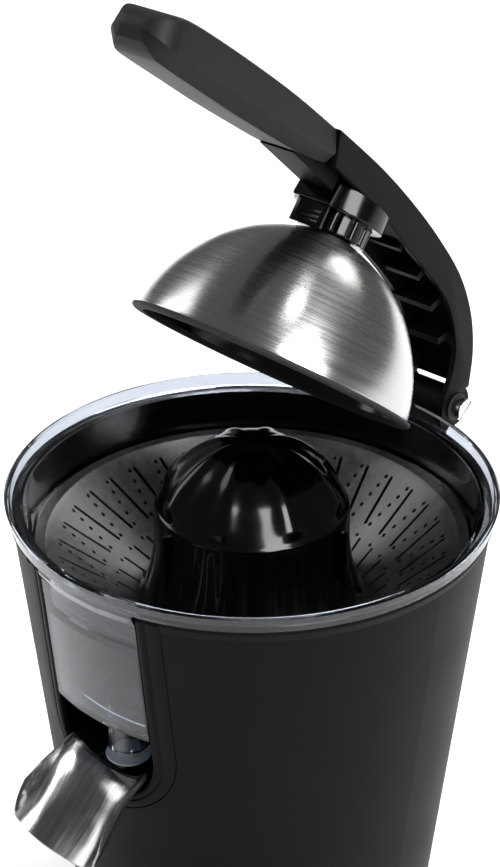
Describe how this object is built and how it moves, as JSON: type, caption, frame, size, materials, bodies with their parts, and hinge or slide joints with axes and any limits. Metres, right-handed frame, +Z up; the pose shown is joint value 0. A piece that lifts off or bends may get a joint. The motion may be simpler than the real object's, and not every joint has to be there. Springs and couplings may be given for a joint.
{
  "type": "citrus press juicer",
  "caption": "Lever citrus press: tapered black housing, clear juice bowl with strainer and reamer, hinged arm with a steel pressing dome, tipping steel spout.",
  "frame": {"origin": "on the table, under the centre of the juice bowl", "axes": "+Z up; the spout points along -Y and the arm's hinge is on +Y; the hinge axis is parallel to X"},
  "size_m": [0.2, 0.2443, 0.4464],
  "materials": {
    "matte_black": "fine matte grain",
    "soft_touch": "soft-touch, finely textured",
    "gloss_black": "polished",
    "clear": "clear moulded plastic",
    "brushed_steel": "brushed round the dome and along the spout",
    "dark_steel": "dark satin",
    "silicone": "translucent",
    "rubber_black": "matt",
    "bright_steel": "turned and polished",
    "laminations": "varnished edges",
    "copper": "enamelled wire",
    "bronze": "sintered",
    "die_cast": "as cast",
    "nylon_white": "moulded",
    "nylon_grey": "moulded"
  },
  "bodies": {
    "base": {"housing": "matte_black", "spout_bezel": "matte_black", "base_plate": "matte_black", "base_screws": "bright_steel", "rubber_feet": "rubber_black", "cord_gland": "rubber_black", "terminal_block": "nylon_white", "motor_stator": "laminations", "motor_windings": "copper", "motor_lower_bracket": "die_cast", "motor_upper_bracket": "die_cast", "motor_bearings": "bronze", "idler_shaft": "bright_steel", "gearbox_cover": "nylon_grey", "gearbox_base": "nylon_grey", "gearbox_screws": "bright_steel", "pillar_screws": "bright_steel", "spindle_bush": "bronze", "press_spring": "bright_steel", "press_switch": "gloss_black", "deck": "gloss_black", "deck_screws": "bright_steel", "tower_bush": "bronze", "spindle_seal": "rubber_black", "spout_bay": "gloss_black", "juice_bowl": "clear", "strainer": "dark_steel", "hinge_bracket": "matte_black", "bracket_screws": "bright_steel", "hinge_bolt": "bright_steel", "hinge_nut": "bright_steel", "hinge_washers": "rubber_black", "spout_pins": "bright_steel"},
    "press": {"thrust_collar": "nylon_white"},
    "reamer_drive": {"spindle": "bright_steel", "output_gear": "nylon_white", "drive_hub": "nylon_grey", "reamer": "gloss_black"},
    "rotor": {"motor_rotor": "laminations", "motor_shaft": "bright_steel", "cooling_fan": "nylon_grey", "motor_pinion": "bright_steel"},
    "idler": {"idler_gear": "nylon_white"},
    "plunger": {"switch_plunger": "nylon_white"},
    "arm": {"arm_shell": "matte_black", "grip_cover": "soft_touch", "arm_core": "matte_black", "dome_collar": "gloss_black", "dome_neck": "gloss_black", "dome_screw": "bright_steel", "press_dome": "brushed_steel", "dome_liner": "gloss_black", "dome_ring": "rubber_black"},
    "latch": {"release_latch": "gloss_black"},
    "spout": {"spout_lip": "brushed_steel", "spout_carrier": "gloss_black", "stopper": "silicone"}
  },
  "joints": [
    {"name": "motor_spin", "type": "hinge", "parent": "base", "child": "rotor", "pos_m": [0, 0.00695, 0.06], "axis": [0, 0, 1], "continuous": true},
    {"name": "idler_spin", "type": "hinge", "parent": "base", "child": "idler", "pos_m": [0.02314, 0.02758, 0.12], "axis": [0, 0, 1], "continuous": true},
    {"name": "spindle_press", "type": "slide", "parent": "base", "child": "press", "axis": [0, 0, 1], "range_m": [-0.003, 0], "stiffness_N_per_m": 3000, "springref_m": 0.004, "deforming": ["press_spring"]},
    {"name": "reamer_spin", "type": "hinge", "parent": "press", "child": "reamer_drive", "pos_m": [0, 0, 0.2], "axis": [0, 0, 1], "continuous": true},
    {"name": "switch_travel", "type": "slide", "parent": "base", "child": "plunger", "axis": [0, 0, 1], "range_m": [-0.003, 0], "stiffness_N_per_m": 150, "springref_m": 0.001},
    {"name": "arm_hinge", "type": "hinge", "parent": "base", "child": "arm", "pos_m": [0, 0.116, 0.231], "axis": [-1, 0, 0], "range_deg": [-38, 30]},
    {"name": "latch_push", "type": "slide", "parent": "arm", "child": "latch", "axis": [0, 0.788, -0.6157], "range_m": [0, 0.0015], "stiffness_N_per_m": 800, "springref_m": -0.0005},
    {"name": "spout_tilt", "type": "hinge", "parent": "base", "child": "spout", "pos_m": [0, -0.057, 0.152], "axis": [-1, 0, 0], "range_deg": [0, 9.5]}
  ],
  "couplings": [
    {"joint": "idler_spin", "follows": "motor_spin", "ratio": -0.24},
    {"joint": "reamer_spin", "follows": "motor_spin", "ratio": 0.048},
    {"joint": "switch_travel", "follows": "spindle_press", "ratio": 1}
  ]
}
